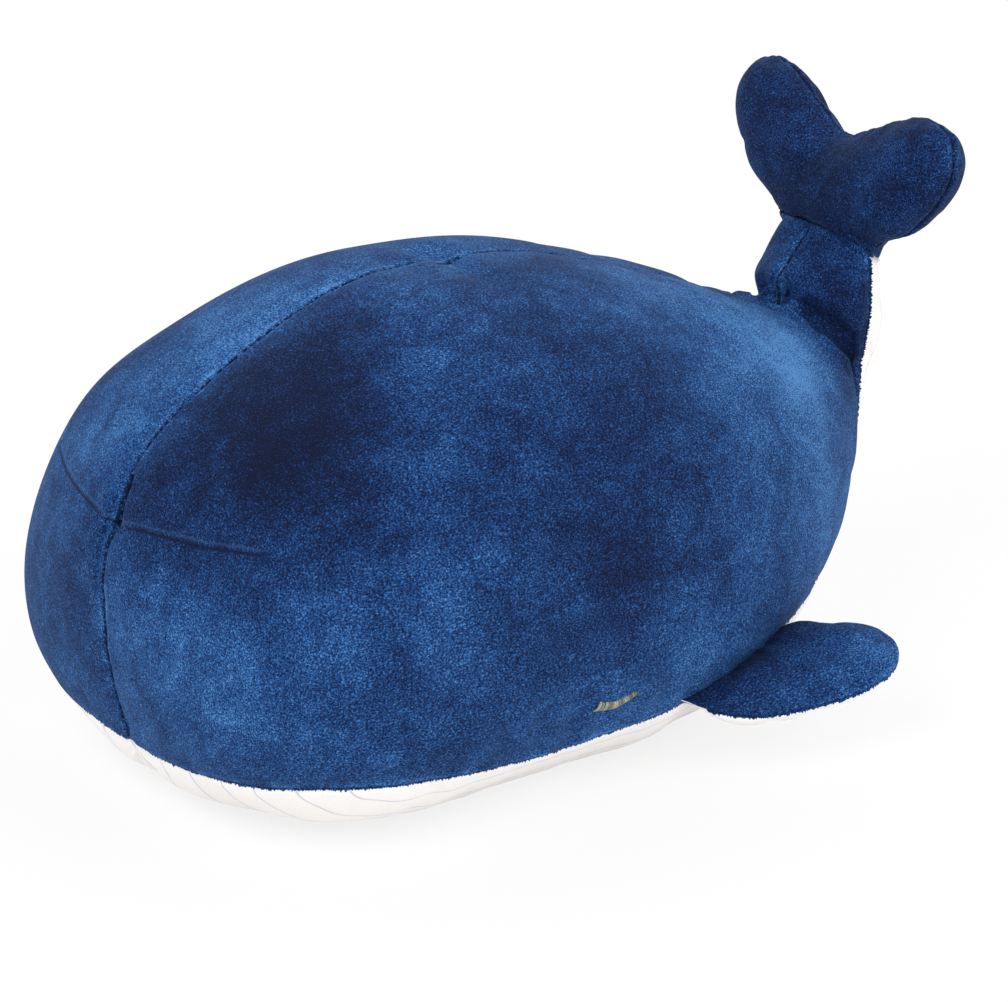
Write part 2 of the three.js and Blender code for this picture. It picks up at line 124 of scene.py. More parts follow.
# %% Socket sums and the one node maker
class Socket:
    """An output socket, on which sums are written as sums."""

    def __init__(self, make, socket):
        self.make, self.socket = make, socket

    def sum(self, operation, first, second):
        return self.make("ShaderNodeMath", {"operation": operation}, {0: first, 1: second})

    def beside(self, name):
        """Another output of the same node."""
        return Socket(self.make, self.socket.node.outputs[name])

    def __add__(self, other):
        return self.sum("ADD", self, other)

    def __sub__(self, other):
        return self.sum("SUBTRACT", self, other)

    def __rsub__(self, other):
        return self.sum("SUBTRACT", other, self)

    def __mul__(self, other):
        return self.sum("MULTIPLY", self, other)

    def __abs__(self):
        return self.make("ShaderNodeMath", {"operation": "ABSOLUTE"}, {0: self})

    __radd__ = __add__
    __rmul__ = __mul__


class Finish:
    """A new material, or a given world, with the method that makes its nodes."""

    def __init__(self, name, world=None):
        self.owner = world or bpy.data.materials.new(name)
        self.owner.use_nodes = True
        self.tree = self.owner.node_tree
        self.tree.nodes.clear()
        kind = "ShaderNodeOutputWorld" if world else "ShaderNodeOutputMaterial"
        self.output = self.tree.nodes.new(kind)

    def make(self, kind, settings=None, values=None, output=0):
        node = self.tree.nodes.new(kind)
        for key, value in (settings or {}).items():
            if key == "stops":
                ramp = node.color_ramp
                while len(ramp.elements) < len(value):
                    ramp.elements.new(1.0)
                for element, (place, colour) in zip(ramp.elements, value):
                    element.position, element.color = place, (*colour, 1.0)
            else:
                setattr(node, key, value)
        for key, value in (values or {}).items():
            if isinstance(value, Socket):
                self.tree.links.new(value.socket, node.inputs[key])
            else:
                node.inputs[key].default_value = value
        return Socket(self.make, node.outputs[output])

    def finish(self, shader):
        self.tree.links.new(shader.socket, self.output.inputs["Surface"])
        print(self.owner.name, "is made of", len(self.tree.nodes), "nodes")
        return self.owner


def rgb(red, green, blue):
    """A colour as it looks on screen, from 0 to 255, as the linear numbers that nodes hold."""
    shares = [value / 255 for value in (red, green, blue)]
    return [s / 12.92 if s <= 0.04045 else ((s + 0.055) / 1.055) ** 2.4 for s in shares]


# %% [markdown]
# ## Stage
# The photograph has a plain white ground. The floor is pale cloth that takes the cushion's shadow,
# mixed with white for what the camera and reflections see of it. The world is white to them too,
# and a plain light to the object.

# %% Floor
floor_radius = 8.0
floor_white = 0.8  # share of plain white in what the camera sees of the floor
plain_white = (1, 1, 1, 1)


def white_share(finish):
    """1 for rays that show the ground itself, 0 for rays that light the object."""
    path = finish.make("ShaderNodeLightPath", output="Is Camera Ray")
    return path + path.beside("Is Glossy Ray") + path.beside("Is Transmission Ray")


def floor_cloth():
    finish = Finish("stage_floor")
    cloth = finish.make("ShaderNodeBsdfDiffuse", None, {"Color": (0.92, 0.92, 0.92, 1)})
    glow = finish.make("ShaderNodeEmission", None, {"Color": plain_white, "Strength": 1.0})
    share = white_share(finish) * floor_white
    return finish.finish(finish.make("ShaderNodeMixShader", None, {0: share, 1: cloth, 2: glow}))


def new_piece(name, shape):
    """A new object at the origin from a bmesh, which is freed."""
    mesh = bpy.data.meshes.new(name)
    shape.to_mesh(mesh)
    shape.free()
    piece = bpy.data.objects.new(name, mesh)
    scene.collection.objects.link(piece)
    return piece


disc = bmesh.new()
bmesh.ops.create_circle(disc, cap_ends=True, segments=96, radius=floor_radius)
floor = new_piece("floor", disc)
floor.data.materials.append(floor_cloth())

# %% World
ambient_strength = 0.8
scene.world = bpy.data.worlds.new("studio")
studio = Finish("studio", scene.world)
ambient = studio.make("ShaderNodeBackground", None, {"Color": plain_white, "Strength": ambient_strength})
backdrop = studio.make("ShaderNodeBackground", None, {"Color": plain_white, "Strength": 1.0})
seen = studio.make("ShaderNodeMixShader", None, {0: white_share(studio), 1: ambient, 2: backdrop})
studio.finish(seen)
print("ambient light", ambient_strength)


# %% Studio lamps
def soft_box(name, place, size, power):
    """A large square lamp that faces the middle of the cushion."""
    data = bpy.data.lights.new(name, "AREA")
    data.shape, data.size, data.energy = "SQUARE", size, power
    aimed(name, data, place)
    print(name, "lamp of", power, "watts at", place)


soft_box("key", (0.7, -1.9, 2.1), 1.6, 30)
soft_box("side", (2.4, 0.9, 1.3), 1.8, 17)
soft_box("rear", (-1.6, 1.6, 1.8), 1.6, 12)

# Colours come out as written only with the plain view.
scene.view_settings.view_transform = "Standard"

# %% [markdown]
# ## Skins
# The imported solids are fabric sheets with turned-in edges. The skin that is stuffed is their outer
# side alone. It is found by looking outwards from each face: a face that sees open air, and that
# is reached without going round a raw edge, belongs to the skin. Rounding the whole solid would
# pull the panels apart at their raw edges. Four-sided faces, joined from the triangles, are
# rounded evenly by a subdivision surface.

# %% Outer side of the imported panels
look_from, look_reach = 0.05 * mm, 6 * mm
raw_edge_turn = math.radians(65)
sewing_gap, shortest_edge = 0.45 * mm, 0.9 * mm


def shape_of(piece):
    """A copy of a piece's mesh, for the bmesh operators."""
    shape = bmesh.new()
    shape.from_mesh(piece.data)
    return shape


def surface_of(*pieces):
    """The faces of one or more pieces, for finding places on them."""
    shape = bmesh.new()
    for piece in pieces:
        shape.from_mesh(piece.data)
    tree = BVHTree.FromBMesh(shape)
    shape.free()
    return tree


def outer_side(node, around, number):
    """The outer side of one fabric sheet as a mesh, with its panel's number on each face."""
    shape = shape_of(frame["nodes"][node])
    bmesh.ops.remove_doubles(shape, verts=shape.verts, dist=0.01 * mm)
    shape.normal_update()

    def sees_air(face):
        start = face.calc_center_median() + face.normal * look_from
        return around.ray_cast(start, face.normal, look_reach)[0] is None

    free = {face for face in shape.faces if sees_air(face)}
    first = max(free, key=lambda face: face.calc_area())
    found, edge_of_search = {first}, [first]
    while edge_of_search:
        face = edge_of_search.pop()
        for edge in face.edges:
            if len(edge.link_faces) != 2 or edge.calc_face_angle_signed() > raw_edge_turn:
                continue
            for other in edge.link_faces:
                if other in free and other not in found:
                    found.add(other)
                    edge_of_search.append(other)
    bmesh.ops.delete(shape, geom=[f for f in shape.faces if f not in found], context="FACES")
    bmesh.ops.join_triangles(
        shape, faces=shape.faces, angle_face_threshold=math.pi, angle_shape_threshold=math.pi)
    panel = shape.faces.layers.int.new("panel")
    for face in shape.faces:
        face[panel] = number
    mesh = bpy.data.meshes.new(node + "_outer")
    print(node, "outer side:", len(shape.faces), "faces")
    shape.to_mesh(mesh)
    shape.free()
    return mesh


def sewn_skin(nodes, fillings=()):
    """The outer sides of several panels, sewn together along their edges."""
    around = surface_of(*(frame["nodes"][node] for node in (*nodes, *fillings)))
    shape = bmesh.new()
    for number, node in enumerate(nodes):
        shape.from_mesh(outer_side(node, around, number))
    rim = [vert for vert in shape.verts if vert.is_boundary]
    bmesh.ops.remove_doubles(shape, verts=rim, dist=sewing_gap)
    bmesh.ops.dissolve_degenerate(shape, edges=shape.edges, dist=shortest_edge)
    open_edges = sum(edge.is_boundary for edge in shape.edges)
    print("skin of", len(shape.faces), "faces,", open_edges, "open edges")
    return shape


body_nodes = ["back_panel_left", "back_panel_right", "belly_panel"]
skin = sewn_skin(body_nodes, ["body_filling", "tail_filling"])

# %% [markdown]
# ## Rounding and stuffing
# A subdivision surface rounds the facets of a skin, and cloth pressure then fills it as fibre
# fills a real one: the fabric swells between its seams, which hold. A formula could make a bulge
# too, but pressure finds by itself how far cloth stands out between curved seams. The start is a
# little too slim, the seams are pinned, gravity is off, and a point may move only a little, so
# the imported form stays.

# %% Points of a piece as arrays
def rows_of(items, name):
    """One vector from each item, as the rows of an array."""
    rows = np.empty(len(items) * 3)
    items.foreach_get(name, rows)
    return rows.reshape(-1, 3)


def points_of(piece):
    return rows_of(piece.data.vertices, "co")


def normals_of(piece):
    return rows_of(piece.data.vertex_normals, "vector")


def lengths_of(rows):
    return np.linalg.norm(rows, axis=1)


def move_points(piece, points):
    piece.data.vertices.foreach_set("co", points.ravel())
    piece.data.update()


def record_on(piece, name, values):
    """Keeps a number for each point on the mesh, for the materials to read."""
    kept = piece.data.attributes.get(name) or piece.data.attributes.new(name, "FLOAT", "POINT")
    kept.data.foreach_set("value", np.full(len(piece.data.vertices), values, np.float32))


def record_outwards(piece, directions):
    """Keeps each point's direction out of the skin, before the stuffing puckers it."""
    attributes = piece.data.attributes
    kept = attributes.get("outwards") or attributes.new("outwards", "FLOAT_VECTOR", "POINT")
    kept.data.foreach_set("vector", directions.ravel().astype(np.float32))


def outwards_of(piece):
    rows = rows_of(piece.data.attributes["outwards"].data, "vector")
    return rows / lengths_of(rows)[:, None]


# %% Soft fades
def eased(share):
    """Makes a straight rise from 0 to 1 start and end gently."""
    share = np.clip(share, 0, 1)
    return share * share * (3 - 2 * share)


def bell(distance, reach):
    """1 in the middle of a place, and almost 0 at twice its reach."""
    return np.exp(-((distance / reach) ** 2))


# %% Applying modifiers
def settle(piece):
    """Applies a piece's modifiers and leaves a plain mesh."""
    graph = bpy.context.evaluated_depsgraph_get()
    mesh = bpy.data.meshes.new_from_object(piece.evaluated_get(graph))
    old = piece.data
    piece.modifiers.clear()
    piece.data = mesh
    bpy.data.meshes.remove(old)
    mesh.name = piece.name


def rounded(piece, levels):
    """Catmull-Clark subdivision, applied."""
    modifier = piece.modifiers.new("rounding", "SUBSURF")
    modifier.levels = modifier.render_levels = levels
    settle(piece)
    print(piece.name, "rounded to", len(piece.data.polygons), "faces")
    return piece


# %% Stuffing by cloth pressure
stuffing_frames = 20


def stuffed(piece, held, slack, ease, pressure, mass, reach):
    """Swells a skin between its held points. No point ends further than reach from its start."""
    start, normals = points_of(piece), normals_of(piece)
    start[~held] -= normals[~held] * slack
    move_points(piece, start)
    group = piece.vertex_groups.new(name="held")
    group.add(np.flatnonzero(held).tolist(), 1.0, "REPLACE")
    cloth = piece.modifiers.new("stuffing", "CLOTH")
    fabric = cloth.settings  # its stiffness stays Blender's own
    fabric.mass = mass
    fabric.shrink_min = -ease
    fabric.use_pressure = True
    fabric.uniform_pressure_force = pressure
    fabric.vertex_group_mass = "held"
    fabric.effector_weights.gravity = 0
    cloth.collision_settings.use_collision = False
    for number in range(1, stuffing_frames + 1):
        scene.frame_set(number)
    settle(piece)
    scene.frame_set(1)
    piece.vertex_groups.clear()
    moved = points_of(piece) - start
    lengths = lengths_of(moved)
    move_points(piece, start + moved * np.minimum(1, reach / np.maximum(lengths, 1e-9))[:, None])
    print(piece.name, "swells by", round(np.median(lengths[~held]) / mm, 2), "mm at its median point")


# %% [markdown]
# ## Body
# The three skins close at the nose, where all panels meet. Under the chin the pale panel leaves
# the seam at a slope, because stuffing rounds it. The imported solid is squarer, so the chin is
# drawn in before the body is stuffed. The pale panel lies smoother than pressure leaves it, so it
# is evened out between its seams afterwards.

# %% Body skin
nose_rear = -0.2


def close_nose(shape):
    """Fills the small opening where the three body panels meet, and gives each panel its share."""
    panel = shape.faces.layers.int["panel"]
    rims = [e for e in shape.edges if e.is_boundary and e.verts[0].co.y < nose_rear]
    corners = [vert for vert in {v for edge in rims for v in edge.verts}
               if abs(vert.co.x) > mm and len({face[panel] for face in vert.link_faces}) > 1]
    seam_height = corners[0].co.z
    bmesh.ops.holes_fill(shape, edges=rims, sides=0)
    bmesh.ops.connect_vert_pair(shape, verts=corners)
    lid = [f for f in shape.faces if f.calc_center_median().y < nose_rear and len(f.verts) > 4]
    parts = {*lid, *(e for f in lid for e in f.edges), *(v for f in lid for v in f.verts)}
    cut = bmesh.ops.bisect_plane(
        shape, geom=list(parts), plane_co=(0, 0, 0), plane_no=(1, 0, 0), dist=0.01 * mm)
    lid = [f for f in cut["geom"] if isinstance(f, bmesh.types.BMFace)]
    for face in lid:
        centre = face.calc_center_median()
        upper = 0 if centre.x > 0 else 1
        face[panel] = upper if centre.z > seam_height else 2
    bmesh.ops.triangulate(shape, faces=lid)
    bmesh.ops.recalc_face_normals(shape, faces=shape.faces)
    print("nose closed between", len(corners), "corners")
    return shape


def seam_points(piece):
    """Which points lie between two panels, or on an open edge."""
    shape = shape_of(piece)
    panel = shape.faces.layers.int["panel"]
    on_seam = np.zeros(len(shape.verts), bool)
    for edge in shape.edges:
        if len({face[panel] for face in edge.link_faces}) > 1 or edge.is_boundary:
            on_seam[[vert.index for vert in edge.verts]] = True
    shape.free()
    return on_seam


def on_panel(piece, number):
    """Which points belong to one panel, its edges included."""
    found = np.zeros(len(piece.data.vertices), bool)
    for polygon, own in zip(piece.data.polygons, piece.data.attributes["panel"].data):
        if own.value == number:
            found[list(polygon.vertices)] = True
    return found


body = new_piece("body_skin", close_nose(skin))
rounded(body, 2)

# %% Nose evened out, where three panels meet in one point
nose = np.array((0, -262, 37)) * mm
nose_reach, chin_reach = 18 * mm, 26 * mm


def away_from_nose(points, reach):
    """0 at the nose, rising to 1 at the given distance from it."""
    return eased(lengths_of(points - nose) / reach)


def evened_out(piece, chosen, times):
    """Smooths the chosen points of a piece."""
    shape = shape_of(piece)
    verts = [vert for vert, is_chosen in zip(shape.verts, chosen) if is_chosen]
    every_way = {"use_axis_x": True, "use_axis_y": True, "use_axis_z": True}
    for _ in range(times):
        bmesh.ops.smooth_vert(shape, verts=verts, factor=0.5, **every_way)
    shape.to_mesh(piece.data)
    shape.free()
    print(piece.name, "evened out over", len(verts), "points")


evened_out(body, away_from_nose(points_of(body), nose_reach) < 1, 10)

# %% Pleat lines of the belly
# The lines run lengthwise at equal distances. Each point's place across the cloth is counted
# from the middle, along the bottom and then up the side, before the stuffing moves it.
pleat_spacing = 28.0
points, normals = points_of(body), normals_of(body)
sideways = np.clip(np.abs(normals[:, 0]) * 1.6 - 0.3, 0, 1)
up_the_side = sideways * np.clip(points[:, 2] / mm - 8, 0, 60) * 0.8
pleats = (np.abs(points[:, 0]) / mm + up_the_side) / pleat_spacing
record_on(body, "pleat", pleats)
print("pleat lines on half of the belly:", int(pleats[on_panel(body, 2)].max()) + 1)

# %% Chin drawn in under the seam
chin_front, chin_rear = -0.247, -0.195
chin_seam_height = 39 * mm
chin_slope, chin_depth, chin_drop = 0.8, 11 * mm, 7 * mm

points, normals = points_of(body), normals_of(body)
on_belly = on_panel(body, 2) & ~seam_points(body)
fade = eased((chin_rear - points[:, 1]) / (chin_rear - chin_front)) * on_belly
drawn = np.clip((chin_seam_height - points[:, 2]) * chin_slope, 0, chin_depth) * fade
outwards = normals * (1, 1, 0)
outwards[:, 0] *= 0.5
outwards /= np.maximum(lengths_of(outwards), 0.2)[:, None]
direction = np.where(np.abs(normals[:, 2:]) > 0.9, (0.0, -1.0, 0.0), outwards)
points -= direction * drawn[:, None]
points[:, 2] -= chin_drop * drawn / chin_depth
move_points(body, points)
print("chin drawn in by", round(drawn.max() / mm, 1), "mm")
evened_out(body, away_from_nose(points_of(body), chin_reach) < 1, 4)

# %% Fuller and slimmer places
# Fibre is packed unevenly. Each place has a middle on the left half, a reach and a swelling in
# millimetres. It is mirrored to the right, so one on the centre line counts twice.
full_places = [
    ((105, -225, 130), 60, -5.0),  # cheeks
    ((100, -212, 215), 50, 5.5),  # brow
    ((0, -250, 188), 45, 4.5), ((0, -255, 160), 30, 2.5),  # forehead on both sides of the seam
    ((72, -231, 6), 28, -4.0),  # chin
    ((50, 120, 238), 50, 4.5),  # back before the tail
    ((20, 243, 158), 32, 7.0),  # belly under the tail
    ((28, 246, 195), 26, 5.0), ((0, 180, 220), 18, -2.0),  # tail stock, behind and in front
]
points, outwards = points_of(body), normals_of(body)
for (x, y, z), reach, swell in full_places:
    for side in (1, -1):
        distance = lengths_of(points - np.array((x * side, y, z)) * mm) / mm
        points += outwards * (swell * mm * bell(distance, reach))[:, None]
move_points(body, points)
print("places swelled or slimmed:", 2 * len(full_places))

# %% Body stuffed
record_outwards(body, normals_of(body))
stuffed(body, seam_points(body), slack=4 * mm, ease=0.04, pressure=80, mass=0.06, reach=5.5 * mm)
rounded(body, 2)
evened_out(body, on_panel(body, 2) & ~seam_points(body), 22)

# %% [markdown]
# ## Limbs
# Flukes and fins are stuffed bags of two panels. Their skins are sewn and stuffed as the body's
# is. The bag of the flukes is open at its base, where it is sewn round the end of the tail stock.
# There its edge is laid on the stock's, and its swelling fades out, so that one seam joins them.
# The flukes hang a little to the left. A fin is pulled into the side seam at its root, forwards
# at the root's front, and out to its tip and rim.

# %% Limb skins
limb_nodes = {
    "flukes": ["fluke_front_panel", "fluke_rear_panel"],
    "fin_left": ["fin_left_upper_panel", "fin_left_lower_panel"],
    "fin_right": ["fin_right_upper_panel", "fin_right_lower_panel"],
}
limb_growth = {"flukes": 2.5 * mm, "fin_left": 0.3 * mm, "fin_right": 0.3 * mm}
base_reach = 34 * mm
lobe_reach, left_lobe_down, right_lobe_up = 75 * mm, 5 * mm, 2.5 * mm


def open_edge(piece):
    """The numbers of the points on a skin's open edge."""
    shape = shape_of(piece)
    found = [vert.index for vert in shape.verts if vert.is_boundary]
    shape.free()
    return found


def from_seam(points, on_seam):
    """For each point, the place in the list of the nearest seam point, and its distance."""
    finder = KDTree(len(on_seam))
    for number, index in enumerate(on_seam):
        finder.insert(points[index], number)
    finder.balance()
    return [np.array(column) for column in zip(*(finder.find(point)[1:] for point in points))]


def grown(limb, growth, stock):
    """Swells a limb along its normals. An open base is laid on the stock instead."""
    points, outwards = points_of(limb), outwards_of(limb)
    rim = open_edge(limb)
    if not rim:
        move_points(limb, points + outwards * growth)
        return
    found = [stock.find_nearest(Vector(points[i]))[:2] for i in rim]
    places, facings = (np.array(column) for column in zip(*found))
    to_stock = places - points[rim]
    number, distance = from_seam(points, rim)
    share = eased(distance / base_reach)[:, None]
    move_points(limb, points + to_stock[number] * (1 - share) + outwards * growth * share)
    record_outwards(limb, facings[number] * (1 - share) + outwards * share)
    # The move brings a few points of the base together, so these are joined.
    shape = shape_of(limb)
    bmesh.ops.dissolve_degenerate(shape, edges=shape.edges, dist=0.3 * mm)
    shape.to_mesh(limb.data)
    shape.free()
    furthest = lengths_of(to_stock).max() / mm
    print(limb.name, "base moved to the stock by", round(furthest, 1), "mm at most")


def hung_to_the_left(flukes):
    """Lowers the left lobe and lifts the right one, more towards their tips."""
    points = points_of(flukes)
    along = np.clip(points[:, 0] / lobe_reach, -1, 1)
    points[:, 2] -= np.where(along > 0, left_lobe_down, right_lobe_up) * along * np.abs(along)
    move_points(flukes, points)


def root_line(name):
    """The line on which a fin is sewn to the body: a point on it and its direction."""
    joint = next(joint for joint in frame["joints"] if joint["child"] == name)
    return np.array(joint["pos_m"]), np.array(joint["axis"]) / np.linalg.norm(joint["axis"])


def from_root(points, name):
    """Each point's distance from a fin's root line."""
    place, direction = root_line(name)
    away = points - place
    return lengths_of(away - np.outer(away @ direction, direction))


# %% Fins drawn into the side seam
root_inwards, root_upwards, root_reach = 3 * mm, 5 * mm, 22 * mm
root_front, front_reach = np.array((151, 7.5, 41)) * mm, 24 * mm
front_drawn = np.array((-2, -9, 3)) * mm
tip_longer, rim_upwards, rim_reach = 7 * mm, 3 * mm, 8 * mm


def sewn_to_body(limb, name):
    """Draws a fin's root into the side seam, and its tip and rim outwards."""
    points = points_of(limb)
    away = from_root(points, name)
    side = np.sign(points[:, 0].mean())
    share = bell(away, root_reach)[:, None]
    tip = points[away.argmax()]
    outwards = tip - root_line(name)[0]
    to_tip = (away / away.max()) ** 6
    front = bell(lengths_of(points - root_front * (side, 1, 1)), front_reach)
    points = points + share * np.array((-side * root_inwards, 0, root_upwards))
    points += to_tip[:, None] * outwards / np.linalg.norm(outwards) * tip_longer
    points += front[:, None] * front_drawn * (side, 1, 1)
    to_rim = from_seam(points, np.flatnonzero(seam_points(limb)))[1]
    points[:, 2] += rim_upwards * bell(to_rim, rim_reach) * away / away.max()
    move_points(limb, points)
    print(name, "reached", np.round(tip / mm, 1), "before its tip was drawn out")


limbs = {}
stock_surface = surface_of(body)
for name, nodes in limb_nodes.items():
    limb = rounded(new_piece(name + "_skin", sewn_skin(nodes)), 2)
    record_outwards(limb, normals_of(limb))
    grown(limb, limb_growth[name], stock_surface)
    if name == "flukes":
        hung_to_the_left(limb)
    else:
        sewn_to_body(limb, name)
    stuffed(limb, seam_points(limb), slack=1.5 * mm, ease=0.04, pressure=120, mass=0.02, reach=2.5 * mm)
    limbs[name] = rounded(limb, 1)

# %% [markdown]
# ## Seams, darts and folds
# Thread pulls a seam below the pile on both sides of it, unevenly, so the fabric puckers. The
# grooves are moved points, deeper at the line and round at the shoulders, because a bump in the
# finish wouldn't show where a seam crosses the outline. Beside the nose a dart runs back on each
# cheek, and the centre seam has a pinch above it. Folds lie across the back and where the tail
# stock rises from the body.

# %% Seam grooves with puckers
base_share = 0.35  # depth of the seam round the flukes' base, as a share of the others
belly_share = 0.3  # height of the puckers on the pale panel, which lies smoother
calm_reach = 34 * mm  # grooves and puckers grow over this distance from the nose


def press_seams(piece, depth, width, pucker, pucker_size, pucker_reach):
    points, outwards = points_of(piece), outwards_of(piece)
    on_seam = np.flatnonzero(seam_points(piece))
    waves = np.array([noise.noise(Vector(points[i]) / pucker_size) for i in on_seam])
    share = np.where(np.isin(on_seam, open_edge(piece)), base_share, 1.0)
    number, distance = from_seam(points, on_seam)
    inside = 1 - np.clip(distance / width, 0, 1)
    groove = depth * (1 - np.sqrt(1 - inside**2))
    puckers = pucker * waves[number] * bell(distance, pucker_reach)
    puckers *= np.where(on_panel(piece, 2) & (distance > 0), belly_share, 1)
    full = away_from_nose(points, calm_reach)
    pressed = (groove * (0.5 + 0.5 * full) + puckers * full) * share[number]
    move_points(piece, points - outwards * pressed[:, None])
    record_on(piece, "seam_mm", np.minimum(distance / mm, 40))
    print(piece.name, "has", len(on_seam), "points on its seams")


press_seams(body, depth=1.8 * mm, width=4 * mm, pucker=0.55 * mm, pucker_size=13 * mm,
            pucker_reach=12 * mm)
press_seams(limbs["flukes"], 1.8 * mm, 4 * mm, 1.1 * mm, 4.5 * mm, 6 * mm)
for side in ("left", "right"):
    press_seams(limbs["fin_" + side], 1.5 * mm, 3.5 * mm, 0.6 * mm, 8 * mm, 8 * mm)

# %% Darts and folds on the body
# Each line is on the left half, in millimetres, and is mirrored to the right.
# Beside each fold line are the depth and width of its groove and the height of the ridge along it.
dart_line = [(0, -253, 165), (20, -255, 168.5), (35, -256, 171), (50, -255, 172.5),
             (70, -250, 173.5), (90, -241, 175), (106, -234, 176)]
fold_lines = {
    "pinch": ([(0, -253, 172), (0, -252, 179), (0, -250, 187), (0, -246, 195)], 3.2, 4.5, 0.0),
    "across the back": ([(0, -40, 276), (10, -41, 276), (20, -45, 275), (33, -53, 273)], 2.2, 9.0, 1.5),
    "stock": ([(0, 190, 212), (10, 193, 211), (19, 196, 210), (28, 199, 205), (34, 204, 200),
               (40, 212, 193), (42, 221, 187), (41, 232, 182)], 7.5, 6.0, 1.2),
    "under the stock": ([(27, 199, 205), (38, 202, 196), (43, 210, 187), (43, 218, 177),
                         (40, 228, 165)], 3.0, 4.0, 1.5),
}
end_fade_share = 0.35  # part of a fold's line over which it fades out


def along_line(points, line):
    """Each point's distance from a line, its share of the way along, and the line's nearest place."""
    steps = lengths_of(np.diff(line, axis=0))
    done = np.concatenate([[0], np.cumsum(steps)]) / steps.sum()
    distance, share = np.full(len(points), np.inf), np.zeros(len(points))
    place = np.zeros_like(points)
    for i, (a, b) in enumerate(zip(line[:-1], line[1:])):
        part = np.clip((points - a) @ (b - a) / ((b - a) @ (b - a)), 0, 1)
        foot = a + part[:, None] * (b - a)
        gap = lengths_of(points - foot)
        closer = gap < distance
        distance[closer], place[closer] = gap[closer], foot[closer]
        share[closer] = (done[i] + part * (done[i + 1] - done[i]))[closer]
    return distance, share, place


def on_surface(tree, line, side):
    """The line's points brought to the surface, on the left (1) or the right (-1)."""
    placed = [Vector((x * side, y, z)) * mm for x, y, z in line]
    return np.array([tree.find_nearest(place)[0] for place in placed])


body_tree = surface_of(body)
points, normals = points_of(body), normals_of(body)
change = np.zeros(len(points))
for name, (line, depth, width, ridge) in fold_lines.items():
    for side in (1, -1):
        distance, share, _ = along_line(points, on_surface(body_tree, line, side))
        end_fade = np.clip((1 - share) / end_fade_share, 0, 1)
        groove = depth * bell(distance, width * mm)
        swell = ridge * bell(distance - 2 * width * mm, width * mm)
        own_side = points[:, 0] * side > 0
        change -= np.where(own_side, (groove - swell) * end_fade, 0) * mm
print("folds move points by", round(change.min() / mm, 1), "to", round(change.max() / mm, 1), "mm")

# %% Nose darts
# A dart is a tight crease in a shallow hollow, and both grow weaker to the rear.
crease_depth, crease_width = 1.1, 1.3 * mm
hollow_depth, hollow_width, hollow_reach = 1.6, 9 * mm, 30 * mm
dart_reach, dart_weaker, dart_end_share = 12 * mm, 0.55, 0.06

dart_side, dart_fade = np.full(len(points), dart_reach / mm), np.zeros(len(points))
for side in (1, -1):
    line = on_surface(body_tree, dart_line, side)
    distance, share, place = along_line(points, line)
    near = (distance < dart_reach) & (points[:, 0] * side > 0)
    above = np.sign(points[:, 2] - place[:, 2])
    strength = (1 - dart_weaker * share) * (share < 1) * (distance < hollow_reach)
    crease = crease_depth * np.exp(-distance / crease_width)
    hollow = hollow_depth * bell(distance, hollow_width)
    change -= (crease + hollow) * strength * mm
    dart_side[near] = (distance * above)[near] / mm
    dart_fade[near] = np.clip((1 - share[near]) / dart_end_share, 0, 1)
points = points + normals * change[:, None]
points[:, 2] = np.maximum(points[:, 2], 0.0)  # the cloth rests on the floor
move_points(body, points)
record_on(body, "dart_mm", dart_side)
record_on(body, "dart_fade", dart_fade)
print("darts sink the cloth by", round(-change[dart_fade > 0].min() / mm, 1), "mm at most")

# %% [markdown]
# ## Panels
# The stuffed net is cut into its panels. Each keeps its own edge, turned in at the seam as a
# sewn allowance is, so that two panels meet in a groove. One net with two colours on it would be
# simpler, but would meet on a drawn line.

# %% Cutting the panels out
body_allowance, limb_allowance, closing_reach = 4 * mm, 3 * mm, 30 * mm


def smooth_piece(name, shape):
    """A new piece with smooth shading."""
    piece = new_piece(name, shape)
    piece.data.shade_smooth()
    print(name, len(piece.data.polygons), "faces")
    return piece


def cut_out(whole, name, number, allowance):
    """One panel of a stuffed net as its own piece, with its edges turned in."""
    shape = shape_of(whole)
    panel = shape.faces.layers.int["panel"]
    outwards = shape.verts.layers.float_vector["outwards"]
    others = [face for face in shape.faces if face[panel] != number]
    bmesh.ops.delete(shape, geom=others, context="FACES")
    rim = [edge for edge in shape.edges if edge.is_boundary]
    made = bmesh.ops.extrude_edge_only(shape, edges=rim)["geom"]
    lip = [vert for vert in made if isinstance(vert, bmesh.types.BMVert)]
    shares = 0.3 + 0.7 * away_from_nose(np.array([vert.co for vert in lip]), closing_reach)
    for vert, share in zip(lip, shares):
        vert.co -= vert[outwards].normalized() * (allowance * share)
    bmesh.ops.recalc_face_normals(shape, faces=shape.faces)
    shape.verts.layers.float_vector.remove(outwards)
    return smooth_piece(name, shape)


pieces = {}
for number, name in enumerate(["back_left_plush", "back_right_plush", "belly_plush"]):
    pieces[name] = cut_out(body, name, number, body_allowance)
for limb, nodes in limb_nodes.items():
    for number, node in enumerate(nodes):
        name = node.replace("panel", "plush")
        pieces[name] = cut_out(limbs[limb], name, number, limb_allowance)

# %% [markdown]
# ## Pile over the seams
# Where blue plush meets the pale one, the cut edge of the blue pile stands over the seam as a ragged
# fringe. It is modelled as a narrow strip that grows out of the blue edge and lies over the pale
# one, and ends in small tufts because its outer points are drawn out by uneven lengths. Hairs
# would be finer, but an export to plain meshes drops them.

# %% Ragged edge of blue pile
pile_back, pile_lift, pile_length = 1.0 * mm, 0.25 * mm, 1.9 * mm
tuft_size, tuft_share = 0.7 * mm, 0.9
root_gap = 12 * mm


